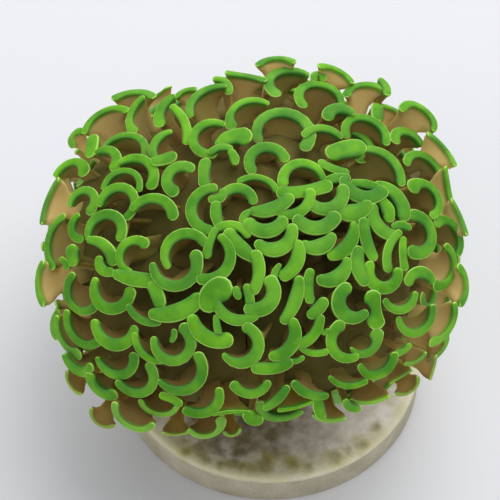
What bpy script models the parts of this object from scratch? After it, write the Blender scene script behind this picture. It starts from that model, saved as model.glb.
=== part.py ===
"""Hammer coral: a branching stony colony on a round ceramic disc, with its polyps out.

Metres, +Z up. The disc rests on z = 0 and the origin is the middle of its underside.
"""

import math
import random

import bmesh
import bpy
from mathutils import Matrix, Quaternion, Vector

# Disc that the colony was mounted on
DISC_DIAMETER = 0.050
DISC_THICKNESS = 0.0062
DISC_EDGE = 0.0007
DISC_SIDES = 36

# Stony stalk: heights above its foot and radii there
GAP = 0.0003
STALK_PROFILE = (
    (0.0, 0.0112), (0.0017, 0.0094), (0.0039, 0.0078), (0.0063, 0.0072), (0.0093, 0.0084), (0.0113, 0.0052),
)
STALK_SIDES = 16
STALK_LEAN = -0.0032
STALK_TOP = DISC_THICKNESS + GAP + STALK_PROFILE[-1][0]
FLUTE_DEPTH = 0.05

# Lumps round the stony parts: how many, how high in shares of the radius, and where they start
LUMPS = ((2, 0.07, 1.1), (3, 0.05, 2.6))

# Stony branches, from inside the fork to a cup under each polyp
BRANCH_RADIUS = 0.0033
CUP_RADIUS = 0.0045
BRANCH_START = 0.0042
BRANCH_DROP = 0.0045
BRANCH_OUT = 0.5
BRANCH_RISE = 0.88
BRANCH_BEND = 0.5
BRANCH_SIDES = 10
BRANCH_RINGS = 3
TOP_BRANCH_RADIUS = 0.0030
TOP_CUP_RADIUS = 0.0035
TOP_BRANCH_DROP = 0.0040

# Crown of tentacles, as an ellipsoid that the tentacle ends lie on
CROWN_CENTRE = Vector((-0.0032, 0.0, 0.0339))
CROWN_REACH = Vector((0.0330, 0.0330, 0.0213))
CROWN_RIM = 0.97
UNDERSIDE_LIMIT = -0.58

# Fleshy body of each polyp, in shares of the crown's reach
BODY_OFFSET = 0.34
BODY_REACH = 0.42
BODY_SEAT = 0.0056
SHAFT_RADIUS = 0.0041
CELL_SIZE = 0.3

# Polyps by name: azimuth and height on the crown, in degrees
POLYPS = {
    "polyp_top": (90.0, 90.0),
    "polyp_left": (162.0, 10.0),
    "polyp_front_left": (234.0, 6.0),
    "polyp_front_right": (306.0, 10.0),
    "polyp_right": (18.0, 10.0),
    "polyp_back": (90.0, 10.0),
}

# Tentacle: a thin stem that flares into a curved hammer end
FLARE_DEPTH = 0.0032
STEM_RADIUS = 0.0010
NECK_CENTRING = 0.6
BAND_LIMIT = 0.8
ROOT_DEPTH = 0.80
ROOT_SHARE = 0.7
ROOT_ABOVE_SEAT = 0.0020

# How far the seen ends lean towards the eye
FACING = 0.45

# Ends near the outline turn edge-on: how far out that is, where 1 is the outline, the bands on the
# sheet that stay face-on and that turn, how much such an end curves, and its least band
EDGE_START = 0.84
EDGE_END = 1.0
EDGE_FACE_ON_BAND = 9.0
EDGE_TURNED_BAND = 4.5
EDGE_SAG = 0.26
EDGE_BAND = 0.0014
BAND_SCALE = 1.12

# Ends on the side that isn't seen from the front; those left out would close gaps in the outline
HIDDEN_SPACING = 0.0068
HIDDEN_CLEAR = 0.8
HIDDEN_SPAN = (0.0058, 0.0076)
HIDDEN_BEND = (0.28, 0.46)
HIDDEN_BAND = (0.0014, 0.0019)
HIDDEN_ARMS = (1.15, 1.0, 0.85)
HIDDEN_TURN = 32.0
HIDDEN_LIFT = 0.35
HIDDEN_WANDER = 0.05
HIDDEN_EDGE = -0.30
HIDDEN_LEFT_OUT = (61, 82, 95, 127, 167, 180, 188)
FILL_EDGE = 0.50
FILL_SPACING = 0.0046
FILL_REACH = 0.89
SEED = 11

# How the surfaces are joined, and where their shading turns sharp
WELD = 1e-7
LEVEL = 1e-6
FLAT = math.radians(0.5)
SHARP = math.radians(40.0)

# Colour and roughness of each material
CERAMIC = ((0.36, 0.31, 0.23), 0.75)
STONE = ((0.42, 0.37, 0.28), 0.85)
FLESH = ((0.10, 0.38, 0.03), 0.60)

# Line of sight that the seen ends were read along, on a square sheet of 500 units
SIGHT_TILT = math.radians(52.0)
SIGHT_DISTANCE = 0.300
SIGHT_AIM = Vector((-0.0032, 0.0, 0.0334))
SHEET_MIDDLE = 250.0
SHEET_SCALE = 1933.0

# Each seen end on that sheet: one tip of the hammer, the middle of its arc, its other
# tip, and how thick the band is at these three
SEEN_ENDS = (
    (116, 97, 132, 92, 152, 96, 9, 7, 9), (85, 131, 101, 112, 125, 110, 6, 7, 8),
    (72, 144, 71, 137, 80, 131, 4, 4, 4), (93, 140, 92, 146, 91, 152, 13, 13, 12),
    (142, 98, 130, 115, 133, 131, 5, 7, 10), (107, 143, 124, 135, 145, 154, 4, 6, 9),
    (56, 174, 71, 162, 84, 171, 6, 8, 13), (97, 152, 112, 151, 115, 166, 5, 9, 12),
    (119, 163, 142, 159, 152, 184, 5, 9, 12), (172, 97, 160, 111, 160, 123, 7, 10, 11),
    (177, 96, 186, 90, 194, 89, 4, 4, 4), (173, 107, 185, 123, 187, 141, 7, 9, 9),
    (190, 115, 197, 95, 224, 86, 8, 8, 5), (216, 79, 226, 82, 228, 92, 6, 7, 7),
    (229, 73, 243, 75, 263, 80, 8, 6, 8), (231, 125, 235, 107, 267, 103, 11, 7, 5),
    (222, 124, 195, 132, 212, 154, 6, 9, 10), (220, 143, 231, 137, 242, 136, 9, 15, 19),
    (212, 151, 221, 147, 230, 148, 7, 7, 6), (232, 153, 234, 157, 235, 161, 8, 9, 8),
    (169, 132, 156, 141, 154, 156, 6, 8, 8), (156, 161, 165, 159, 171, 157, 10, 12, 12),
    (190, 168, 168, 175, 173, 191, 10, 11, 12), (205, 163, 204, 172, 204, 182, 11, 11, 11),
    (213, 188, 191, 209, 209, 230, 9, 11, 10), (223, 193, 219, 198, 213, 199, 9, 10, 9),
    (216, 206, 216, 214, 218, 222, 10, 11, 10), (225, 193, 239, 188, 253, 200, 9, 10, 9),
    (240, 181, 258, 177, 276, 189, 6, 6, 7), (134, 207, 154, 198, 173, 215, 8, 10, 11),
    (167, 265, 173, 238, 204, 242, 7, 10, 10), (215, 231, 210, 242, 207, 254, 7, 8, 9),
    (217, 229, 231, 225, 247, 234, 7, 9, 8), (222, 238, 229, 264, 202, 279, 8, 11, 11),
    (230, 235, 240, 247, 252, 257, 13, 14, 10), (153, 266, 178, 286, 196, 256, 7, 11, 12),
    (144, 243, 124, 245, 129, 271, 11, 8, 6), (256, 256, 259, 273, 254, 289, 12, 12, 11),
    (254, 211, 272, 209, 288, 199, 9, 14, 12), (250, 224, 265, 231, 282, 222, 12, 14, 12),
    (260, 245, 278, 249, 292, 230, 11, 14, 12), (249, 212, 244, 217, 243, 224, 6, 8, 6),
    (283, 182, 300, 163, 323, 178, 11, 9, 6), (283, 193, 305, 191, 326, 186, 13, 12, 13),
    (281, 213, 301, 211, 310, 194, 9, 10, 11), (312, 204, 328, 209, 343, 190, 12, 13, 12),
    (299, 221, 317, 228, 334, 218, 13, 14, 14), (338, 210, 353, 213, 366, 207, 12, 17, 14),
    (344, 181, 362, 197, 381, 192, 10, 14, 14), (330, 180, 337, 178, 346, 178, 9, 10, 9),
    (355, 183, 366, 184, 377, 187, 8, 9, 8), (322, 163, 332, 168, 345, 172, 8, 8, 8),
    (306, 246, 319, 247, 331, 238, 11, 15, 11), (333, 255, 347, 247, 354, 226, 11, 14, 8),
    (364, 223, 366, 239, 373, 256, 11, 12, 10), (358, 252, 358, 267, 364, 280, 12, 14, 12),
    (298, 245, 297, 261, 285, 275, 10, 14, 12), (322, 280, 338, 277, 347, 262, 11, 15, 9),
    (310, 273, 308, 286, 310, 299, 9, 10, 9), (279, 266, 275, 273, 274, 283, 5, 7, 7),
    (250, 309, 268, 305, 271, 282, 12, 15, 13), (373, 209, 380, 228, 392, 235, 11, 13, 12),
    (384, 203, 388, 210, 389, 216, 11, 13, 12), (379, 186, 398, 197, 404, 215, 10, 14, 13),
    (414, 186, 430, 186, 433, 215, 15, 8, 8), (414, 215, 432, 238, 413, 252, 11, 11, 13),
    (438, 222, 454, 225, 459, 253, 11, 8, 6), (447, 247, 454, 271, 437, 286, 6, 6, 10),
    (409, 280, 420, 272, 432, 280, 11, 11, 8), (460, 268, 467, 285, 462, 303, 9, 5, 4),
    (453, 202, 461, 218, 466, 232, 5, 5, 5), (446, 170, 449, 190, 453, 208, 6, 6, 5),
    (399, 233, 388, 250, 388, 268, 7, 9, 9), (403, 240, 403, 254, 404, 266, 7, 8, 9),
    (395, 226, 402, 225, 408, 227, 7, 8, 7), (370, 266, 384, 288, 398, 273, 10, 12, 10),
    (395, 139, 405, 131, 421, 143, 12, 9, 7), (407, 162, 423, 155, 441, 178, 9, 8, 7),
    (362, 150, 388, 156, 401, 182, 6, 9, 9), (403, 108, 415, 104, 434, 129, 9, 7, 4),
    (430, 135, 443, 146, 454, 163, 5, 5, 5), (382, 81, 386, 87, 387, 92, 8, 9, 9),
    (377, 108, 377, 112, 377, 116, 12, 12, 12), (384, 106, 391, 108, 398, 112, 4, 4, 4),
    (259, 64, 275, 58, 292, 61, 7, 6, 8), (275, 93, 274, 74, 307, 74, 12, 9, 5),
    (314, 78, 318, 73, 323, 78, 6, 6, 6), (322, 66, 334, 68, 351, 81, 9, 6, 4),
    (302, 104, 320, 84, 341, 103, 11, 8, 6), (347, 94, 358, 85, 382, 88, 9, 6, 6),
    (328, 116, 334, 109, 351, 112, 12, 12, 8), (258, 141, 281, 112, 306, 146, 10, 10, 13),
    (306, 134, 320, 128, 340, 136, 9, 8, 6), (346, 135, 361, 117, 386, 142, 9, 8, 8),
    (334, 152, 346, 149, 357, 147, 17, 18, 18), (251, 169, 264, 147, 284, 157, 11, 10, 11),
    (57, 181, 47, 200, 42, 221, 4, 5, 5), (63, 217, 47, 243, 52, 266, 7, 7, 8),
    (42, 264, 37, 284, 42, 303, 5, 5, 5), (70, 204, 85, 190, 91, 210, 5, 8, 11),
    (100, 203, 119, 187, 128, 216, 7, 9, 9), (104, 187, 120, 171, 139, 189, 6, 6, 7),
    (88, 238, 107, 214, 121, 236, 5, 10, 11), (90, 240, 104, 245, 113, 260, 7, 11, 12),
    (77, 216, 71, 228, 80, 239, 6, 7, 8), (72, 251, 72, 256, 73, 261, 13, 13, 11),
    (62, 260, 65, 263, 67, 267, 6, 6, 6), (99, 260, 101, 268, 110, 272, 8, 10, 9),
    (72, 276, 69, 301, 93, 308, 8, 7, 9), (95, 281, 106, 308, 130, 293, 7, 11, 12),
    (118, 276, 135, 279, 153, 282, 11, 14, 15), (129, 307, 138, 318, 158, 322, 6, 7, 7),
    (67, 313, 74, 338, 97, 342, 7, 8, 9), (95, 324, 115, 345, 134, 330, 9, 12, 9),
    (57, 314, 52, 325, 56, 336, 4, 4, 4), (57, 318, 63, 344, 77, 354, 5, 7, 12),
    (65, 357, 74, 369, 90, 367, 7, 10, 9), (67, 372, 68, 383, 80, 394, 4, 4, 4),
    (90, 377, 97, 390, 113, 394, 11, 11, 11), (98, 360, 116, 375, 134, 358, 6, 9, 11),
    (119, 384, 142, 393, 151, 368, 8, 9, 12), (135, 336, 141, 352, 161, 361, 7, 7, 6),
    (154, 340, 174, 361, 185, 329, 7, 10, 12), (174, 332, 174, 335, 172, 340, 6, 6, 5),
    (154, 287, 157, 294, 160, 302, 12, 13, 12), (154, 314, 178, 312, 197, 300, 11, 17, 14),
    (209, 302, 213, 294, 220, 289, 20, 24, 24), (217, 304, 232, 319, 254, 316, 9, 11, 9),
    (193, 320, 207, 338, 226, 340, 11, 15, 14), (216, 318, 217, 326, 219, 335, 6, 7, 7),
    (160, 382, 190, 389, 199, 357, 5, 10, 11), (248, 328, 257, 352, 225, 356, 11, 12, 6),
    (236, 290, 237, 293, 238, 296, 7, 8, 7), (247, 288, 249, 295, 250, 302, 8, 9, 9),
    (293, 323, 292, 345, 274, 356, 10, 13, 10), (299, 281, 295, 301, 285, 319, 10, 13, 10),
    (320, 319, 315, 333, 303, 343, 9, 10, 10), (323, 303, 318, 309, 312, 314, 11, 12, 10),
    (301, 348, 312, 353, 325, 352, 5, 6, 7), (322, 331, 324, 333, 327, 331, 5, 5, 5),
    (257, 368, 273, 368, 288, 363, 11, 12, 10), (290, 361, 297, 361, 302, 358, 6, 5, 5),
    (235, 386, 250, 394, 267, 384, 10, 9, 8), (286, 389, 278, 399, 267, 407, 8, 9, 8),
    (295, 384, 308, 394, 325, 396, 8, 9, 7), (331, 378, 347, 386, 365, 382, 5, 6, 6),
    (339, 326, 332, 347, 355, 357, 12, 10, 8), (352, 349, 371, 351, 377, 336, 4, 8, 14),
    (345, 289, 340, 309, 364, 314, 13, 14, 9), (373, 299, 376, 310, 376, 320, 17, 11, 18),
    (361, 367, 381, 374, 394, 357, 7, 9, 10), (386, 302, 400, 310, 415, 295, 7, 8, 7),
    (399, 320, 417, 333, 433, 308, 7, 8, 7), (398, 353, 404, 351, 409, 346, 7, 6, 6),
    (406, 364, 418, 361, 425, 354, 5, 5, 4), (455, 305, 451, 328, 433, 342, 4, 7, 10),
    (447, 338, 443, 350, 431, 359, 4, 4, 4), (436, 357, 434, 368, 431, 378, 3, 3, 3),
    (418, 378, 414, 390, 397, 394, 4, 4, 4), (391, 383, 400, 378, 411, 371, 3, 3, 3),
    (351, 400, 370, 403, 388, 397, 4, 5, 4), (346, 402, 351, 408, 357, 409, 7, 8, 8),
    (318, 401, 319, 409, 322, 416, 10, 11, 9), (314, 416, 328, 421, 344, 419, 4, 5, 4),
    (280, 410, 290, 409, 311, 402, 5, 4, 3), (249, 416, 252, 419, 257, 420, 12, 14, 12),
    (214, 414, 231, 412, 247, 411, 3, 4, 3), (187, 411, 208, 412, 219, 391, 9, 10, 8),
    (141, 402, 155, 414, 177, 406, 6, 6, 5), (163, 396, 172, 399, 178, 403, 8, 9, 9),
    (115, 405, 127, 426, 152, 425, 7, 7, 6), (91, 410, 97, 424, 113, 426, 4, 4, 4),
    (164, 433, 177, 435, 188, 432, 4, 4, 3), (190, 431, 210, 436, 221, 421, 5, 6, 10),
    (225, 433, 232, 436, 240, 430, 4, 3, 3),
)


def over(a, b):
    """Divides one vector by another, axis by axis."""
    return Vector((a.x / b.x, a.y / b.y, a.z / b.z))


def times(a, b):
    """Multiplies one vector by another, axis by axis."""
    return Vector((a.x * b.x, a.y * b.y, a.z * b.z))


def on_sphere(azimuth, height):
    """The unit vector at an azimuth and height in degrees."""
    turn = math.radians(azimuth)
    rise = math.radians(height)
    return Vector((math.cos(turn) * math.cos(rise), math.sin(turn) * math.cos(rise), math.sin(rise)))


# Line of sight
SIGHT_BACK = Vector((0.0, -math.cos(SIGHT_TILT), math.sin(SIGHT_TILT)))
SIGHT_UP = Vector((0.0, math.sin(SIGHT_TILT), math.cos(SIGHT_TILT)))
EYE = SIGHT_AIM + SIGHT_BACK * SIGHT_DISTANCE


def sight_line(x, y):
    """The direction from the eye through a point of the sheet."""
    across = (x - SHEET_MIDDLE) / SHEET_SCALE
    rise = (SHEET_MIDDLE - y) / SHEET_SCALE
    return (Vector((across, 0.0, 0.0)) + SIGHT_UP * rise - SIGHT_BACK).normalized()


def crown_point(x, y):
    """Where the line of sight through a point of the sheet meets the crown, and how far out that is."""
    ray = sight_line(x, y)
    start = over(EYE - CROWN_CENTRE, CROWN_REACH)
    step = over(ray, CROWN_REACH)
    nearest = -start.dot(step) / step.dot(step)
    out = (start + step * nearest).length
    miss = min(out, CROWN_RIM)
    return EYE + ray * (nearest - math.sqrt(1.0 - miss * miss) / step.length), out


def between(value, low, high):
    """How far a value lies from low to high, kept from 0 to 1."""
    return min(max((value - low) / (high - low), 0.0), 1.0)


def plane_point(x, y, origin, normal):
    """Where the line of sight through a point of the sheet meets a plane."""
    ray = sight_line(x, y)
    return EYE + ray * ((origin - EYE).dot(normal) / ray.dot(normal))


def crown_normal(place):
    """The outward direction of the crown at a place on it."""
    return over(over(place - CROWN_CENTRE, CROWN_REACH), CROWN_REACH).normalized()


def seen_end(row):
    """One hammer end from its row: its two tips, the middle of its arc, its axis and its bands."""
    ax, ay, mx, my, bx, by, *bands = row
    middle, out = crown_point(mx, my)
    normal = crown_normal(middle)
    axis = (normal + (EYE - middle).normalized() * FACING).normalized()
    scale = (middle - EYE).length / SHEET_SCALE
    edge = between(out, EDGE_START, EDGE_END) * between(-bands[1], -EDGE_FACE_ON_BAND, -EDGE_TURNED_BAND)
    sag = math.hypot(bx - ax, by - ay) * scale * EDGE_SAG
    tips = []
    for x, y in ((ax, ay), (bx, by)):
        face_on = plane_point(x, y, middle, axis)
        edge_on = EYE + sight_line(x, y) * ((middle - EYE).length - sag)
        tips.append(face_on.lerp(edge_on, edge))
    axis = axis.lerp(normal, edge).normalized()
    chord = (tips[1] - tips[0]).normalized()
    axis = (axis - chord * axis.dot(chord)).normalized()
    bands = [band * scale * BAND_SCALE for band in bands]
    bands = [band + max(EDGE_BAND - band, 0.0) * edge for band in bands]
    return {"first": tips[0], "middle": middle, "last": tips[1], "axis": axis, "bands": bands}


def hidden_ends(seen):
    """Ends over the rest of the crown, spread evenly and clear of the seen ones."""
    chance = random.Random(SEED)
    crown_area = 4.0 * math.pi * CROWN_REACH.x * (CROWN_REACH.x + CROWN_REACH.z) / 2.0
    count = int(crown_area / HIDDEN_SPACING ** 2)
    golden = math.pi * (3.0 - math.sqrt(5.0))
    ends = []
    for number in range(count):
        height = 1.0 - 2.0 * (number + 0.5) / count
        turn = number * golden
        ring = math.sqrt(1.0 - height * height)
        wander = Vector([chance.uniform(-HIDDEN_WANDER, HIDDEN_WANDER) for _ in range(3)])
        place = (Vector((ring * math.cos(turn), ring * math.sin(turn), height)) + wander).normalized()
        span = chance.uniform(*HIDDEN_SPAN)
        bend = chance.uniform(*HIDDEN_BEND)
        band = chance.uniform(*HIDDEN_BAND)
        twist = math.radians(chance.uniform(-HIDDEN_TURN, HIDDEN_TURN))
        middle = CROWN_CENTRE + times(place, CROWN_REACH)
        normal = crown_normal(middle)
        facing = normal.dot((EYE - middle).normalized())
        if place.z < UNDERSIDE_LIMIT or facing > FILL_EDGE or number in HIDDEN_LEFT_OUT:
            continue
        spacing = min((middle - end["middle"]).length for end in seen)
        if spacing < (FILL_SPACING if facing > HIDDEN_EDGE else HIDDEN_SPACING * HIDDEN_CLEAR):
            continue
        if facing > HIDDEN_EDGE:
            middle = CROWN_CENTRE + times(place, CROWN_REACH) * FILL_REACH
        axis = (normal + Vector((0.0, 0.0, HIDDEN_LIFT))).normalized()
        convex = (-Vector((0.0, 0.0, 1.0)) + axis * axis.z).normalized()
        convex.rotate(Quaternion(axis, twist))
        along = axis.cross(convex)
        dip = convex * (span * bend)
        ends.append({
            "first": middle - along * span / 2.0 - dip,
            "middle": middle,
            "last": middle + along * span / 2.0 - dip,
            "axis": axis,
            "bands": [band * share for share in HIDDEN_ARMS],
        })
    return ends


# Meshes
def mesh_of(bm, name):
    """A mesh from a bmesh, closed up and facing out."""
    bmesh.ops.remove_doubles(bm, verts=bm.verts, dist=WELD)
    bmesh.ops.recalc_face_normals(bm, faces=bm.faces)
    mesh = bpy.data.meshes.new(name)
    bm.to_mesh(mesh)
    bm.free()
    return mesh


def boolean(mesh, other, operation):
    """The mesh that a Boolean of two meshes leaves."""
    body = bpy.data.objects.new("body", mesh)
    tool = bpy.data.objects.new("tool", other)
    for item in (body, tool):
        bpy.context.scene.collection.objects.link(item)
    cut = body.modifiers.new("cut", "BOOLEAN")
    cut.operation = operation
    cut.object = tool
    cut.use_self = True
    bpy.context.view_layer.update()
    result = bpy.data.meshes.new_from_object(body.evaluated_get(bpy.context.evaluated_depsgraph_get()))
    for item in (body, tool):
        bpy.data.objects.remove(item)
    return result


def largest_body(mesh, name):
    """The largest connected body of a mesh, as triangles."""
    bm = bmesh.new()
    bm.from_mesh(mesh)
    bmesh.ops.dissolve_limit(bm, angle_limit=FLAT, verts=bm.verts, edges=bm.edges)
    bmesh.ops.triangulate(bm, faces=bm.faces)
    left = set(bm.verts)
    bodies = []
    while left:
        stack = [left.pop()]
        found = list(stack)
        while stack:
            for edge in stack.pop().link_edges:
                for vert in edge.verts:
                    if vert in left:
                        left.remove(vert)
                        stack.append(vert)
                        found.append(vert)
        bodies.append(found)
    bodies.sort(key=len)
    for small in bodies[:-1]:
        bmesh.ops.delete(bm, geom=small, context="VERTS")
    return mesh_of(bm, name)


def tube(name, centres, radii, sides, flutes=0.0, level=False):
    """A closed tube through rings of given centres and radii, with shallow flutes along it."""
    bm = bmesh.new()
    rings = []
    for number, (centre, radius) in enumerate(zip(centres, radii)):
        before = centres[max(number - 1, 0)]
        after = centres[min(number + 1, len(centres) - 1)]
        turn = Vector((0.0, 0.0, 1.0)).rotation_difference(after - before)
        if level:
            turn = Quaternion()
        ring = []
        for side in range(sides):
            angle = 2.0 * math.pi * side / sides
            lumps = sum(size * math.sin(count * angle + start) for count, size, start in LUMPS)
            reach = radius * (1.0 + lumps + flutes * (-1) ** side)
            spoke = Vector((math.cos(angle) * reach, math.sin(angle) * reach, 0.0))
            ring.append(bm.verts.new(centre + turn @ spoke))
        rings.append(ring)
    for low, high in zip(rings, rings[1:]):
        for side in range(sides):
            after = (side + 1) % sides
            bm.faces.new((low[side], low[after], high[after], high[side]))
    bm.faces.new(rings[0])
    bm.faces.new(rings[-1])
    bmesh.ops.triangulate(bm, faces=bm.faces)
    return mesh_of(bm, name)


def add_tentacle(bm, end, root):
    """A tentacle: its crescent end, its narrow neck and its root inside the polyp's body."""
    first, middle, last = end["first"], end["middle"], end["last"]
    axis = end["axis"]
    chord = last - first
    halves = [min(band, chord.length * BAND_LIMIT) / 2.0 for band in end["bands"]]
    along = (chord - axis * chord.dot(axis)).normalized()
    convex = axis.cross(along)
    if convex.dot(middle - (first + last) / 2.0) < 0.0:
        convex = -convex

    def outward(run):
        side = axis.cross(run).normalized()
        return side if side.dot(convex) > 0.0 else -side

    out_first = outward(middle - first) * halves[0]
    out_middle = convex * halves[1]
    out_last = outward(last - middle) * halves[2]
    tips = [bm.verts.new(place) for place in (
        first + out_first, middle + out_middle, last + out_last,
        last - out_last, middle - out_middle, first - out_first)]
    neck_centre = middle.lerp((first + last) / 2.0, NECK_CENTRING) - axis * FLARE_DEPTH
    corners = (-along, convex, along)
    neck = [bm.verts.new(neck_centre + corner * STEM_RADIUS) for corner in corners]
    foot = [bm.verts.new(root + corner * STEM_RADIUS) for corner in corners]
    bm.faces.new((tips[0], tips[1], tips[4], tips[5]))
    bm.faces.new((tips[1], tips[2], tips[3], tips[4]))
    for corners_of_face in (
        (tips[0], tips[1], neck[0]), (tips[1], neck[1], neck[0]), (tips[1], tips[2], neck[2]),
        (tips[1], neck[2], neck[1]), (tips[2], tips[3], neck[2]), (tips[3], tips[4], neck[2]),
        (tips[4], neck[0], neck[2]), (tips[4], tips[5], neck[0]), (tips[5], tips[0], neck[0]),
    ):
        bm.faces.new(corners_of_face)
    for side in range(3):
        after = (side + 1) % 3
        bm.faces.new((neck[side], neck[after], foot[after], foot[side]))
    bm.faces.new(foot)


def root_of(end, name):
    """The point just inside a polyp's body, and above its seat, that a tentacle grows from."""
    centre = body_centre(name)
    neck = end["middle"] - end["axis"] * FLARE_DEPTH
    way = over(neck - centre, CROWN_REACH * BODY_REACH)
    root = centre.lerp(neck, min(ROOT_DEPTH / way.length, ROOT_SHARE))
    seat, up = branch_end(name)
    return root + up * max(ROOT_ABOVE_SEAT - (root - seat).dot(up), 0.0)


# Polyps
def body_centre(name):
    """The middle of a polyp's fleshy body."""
    return CROWN_CENTRE + times(on_sphere(*POLYPS[name]), CROWN_REACH) * BODY_OFFSET


def polyp_of(place):
    """The polyp whose direction is nearest to a place on the crown."""
    way = over(place - CROWN_CENTRE, CROWN_REACH)
    return max(POLYPS, key=lambda name: way.dot(on_sphere(*POLYPS[name])))


def cell(name):
    """The room that one polyp has: a block cut along the seams to its neighbours."""
    bm = bmesh.new()
    bmesh.ops.create_cube(bm, size=CELL_SIZE, matrix=Matrix.Translation(CROWN_CENTRE))
    own = on_sphere(*POLYPS[name])
    seams = []
    for other in POLYPS:
        if other == name:
            continue
        normal = over(own - on_sphere(*POLYPS[other]), CROWN_REACH).normalized()
        seams.append((normal, CROWN_CENTRE + normal * GAP / 2.0))
    if name != "polyp_top":
        flat = Vector((own.x, own.y, 0.0)).normalized()
        seams.append((flat, CROWN_CENTRE + flat * SHAFT_RADIUS))
    for normal, place in seams:
        geom = list(bm.verts) + list(bm.edges) + list(bm.faces)
        bmesh.ops.bisect_plane(bm, geom=geom, plane_co=place, plane_no=normal, clear_inner=True)
        open_edges = [edge for edge in bm.edges if len(edge.link_faces) == 1]
        if open_edges:
            bmesh.ops.contextual_create(bm, geom=open_edges)
    return mesh_of(bm, "cell")


def branch_end(name):
    """Where a branch ends below its polyp's body, and the direction it ends in."""
    if name == "polyp_top":
        way = Vector((0.0, 0.0, 1.0))
    else:
        own = on_sphere(*POLYPS[name])
        way = Vector((own.x * BRANCH_OUT, own.y * BRANCH_OUT, BRANCH_RISE)).normalized()
    return body_centre(name) - way * BODY_SEAT, way


def body_mesh(name):
    """A polyp's fleshy body: a rounded lobe with a flat seat over its branch."""
    bm = bmesh.new()
    bmesh.ops.create_icosphere(bm, subdivisions=2, radius=1.0)
    for vert in bm.verts:
        vert.co = body_centre(name) + times(vert.co, CROWN_REACH * BODY_REACH)
    place, way = branch_end(name)
    geom = list(bm.verts) + list(bm.edges) + list(bm.faces)
    bmesh.ops.bisect_plane(bm, geom=geom, plane_co=place + way * GAP, plane_no=way, clear_inner=True)
    bmesh.ops.contextual_create(bm, geom=[edge for edge in bm.edges if len(edge.link_faces) == 1])
    return mesh_of(bm, "body")


def polyp_mesh(name, ends):
    """One polyp: its body and its tentacles, in its own room."""
    bm = bmesh.new()
    for end in ends:
        add_tentacle(bm, end, root_of(end, name))
    tentacles = mesh_of(bm, "tentacles")
    whole = boolean(body_mesh(name), tentacles, "UNION")
    roomy = boolean(whole, cell(name), "INTERSECT")
    return largest_body(boolean(roomy, branch_rod(name, GAP), "DIFFERENCE"), name)


# Skeleton and disc
def stalk_mesh(grow=0.0):
    """The stony trunk, wide at its foot and at the fork."""
    centres = []
    radii = []
    for height, radius in STALK_PROFILE:
        rise = height / STALK_PROFILE[-1][0]
        centres.append(Vector((STALK_LEAN * rise, 0.0, DISC_THICKNESS + GAP + height)))
        radii.append(radius + grow)
    centres[0].z -= grow
    centres[-1].z += grow
    return tube("stalk", centres, radii, STALK_SIDES, FLUTE_DEPTH, level=True)


def branch_rod(name, grow=0.0):
    """The fluted rod of a branch, from inside the fork to the cup under its polyp."""
    place, way = branch_end(name)
    if name == "polyp_top":
        start = Vector((CROWN_CENTRE.x, CROWN_CENTRE.y, STALK_TOP - TOP_BRANCH_DROP))
        shaft, cup = TOP_BRANCH_RADIUS, TOP_CUP_RADIUS
    else:
        own = on_sphere(*POLYPS[name])
        start = Vector((own.x, own.y, 0.0)) * BRANCH_START
        start += Vector((CROWN_CENTRE.x, CROWN_CENTRE.y, STALK_TOP - BRANCH_DROP))
        shaft, cup = BRANCH_RADIUS, CUP_RADIUS
    length = (place - start).length
    centres = []
    radii = []
    for ring in range(BRANCH_RINGS + 1):
        share = ring / BRANCH_RINGS
        straight = start.lerp(place, share)
        bend = way * (share - 1.0) * length + place
        centres.append(straight.lerp(bend, share * BRANCH_BEND))
        radii.append(shaft + (cup - shaft) * share ** 2 + grow)
    return tube("rod", centres, radii, BRANCH_SIDES, FLUTE_DEPTH)


def branch_mesh(name, node):
    """A stony branch above the fork, clear of its neighbours and of the stalk."""
    rod = branch_rod(name)
    if name != "polyp_top":
        rod = boolean(rod, cell(name), "INTERSECT")
    return largest_body(boolean(rod, stalk_mesh(GAP), "DIFFERENCE"), node)


def disc_mesh():
    """The round ceramic disc with softened edges."""
    bm = bmesh.new()
    bmesh.ops.create_cone(
        bm, cap_ends=True, segments=DISC_SIDES, radius1=DISC_DIAMETER / 2.0, radius2=DISC_DIAMETER / 2.0,
        depth=DISC_THICKNESS, matrix=Matrix.Translation((0.0, 0.0, DISC_THICKNESS / 2.0)))
    rims = [edge for edge in bm.edges if abs(edge.verts[0].co.z - edge.verts[1].co.z) < LEVEL]
    bmesh.ops.bevel(bm, geom=rims, offset=DISC_EDGE, segments=1, affect="EDGES")
    bmesh.ops.triangulate(bm, faces=bm.faces)
    return mesh_of(bm, "disc")


# Materials and objects
def finish(name, look):
    """A Principled material with one colour and roughness."""
    colour, roughness = look
    material = bpy.data.materials.new(name)
    material.use_nodes = True
    shader = material.node_tree.nodes["Principled BSDF"]
    shader.inputs["Base Color"].default_value = (*colour, 1.0)
    shader.inputs["Roughness"].default_value = roughness
    shader.inputs["Metallic"].default_value = 0.0
    return material


def place_object(name, mesh, material):
    """Puts a mesh in the scene under its node's name."""
    mesh.name = name
    mesh.materials.clear()
    mesh.materials.append(material)
    mesh.shade_smooth()
    mesh.set_sharp_from_angle(angle=SHARP)
    bpy.context.scene.collection.objects.link(bpy.data.objects.new(name, mesh))


def build():
    """Builds the disc, the stony skeleton and the polyps."""
    for item in list(bpy.data.objects):
        bpy.data.objects.remove(item)
    place_object("disc", disc_mesh(), finish("disc ceramic", CERAMIC))
    place_object("stalk", stalk_mesh(), finish("stalk stone", STONE))
    seen = [seen_end(row) for row in SEEN_ENDS]
    ends = seen + hidden_ends(seen)
    groups = {name: [] for name in POLYPS}
    for end in ends:
        groups[polyp_of(end["middle"])].append(end)
    for name in POLYPS:
        node = name.replace("polyp", "branch")
        place_object(node, branch_mesh(name, node), finish(node + " stone", STONE))
        place_object(name, polyp_mesh(name, groups[name]), finish(name + " flesh", FLESH))


build()
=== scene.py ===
import math
import random

import bpy
import numpy as np
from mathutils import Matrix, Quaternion, Vector, noise


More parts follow.
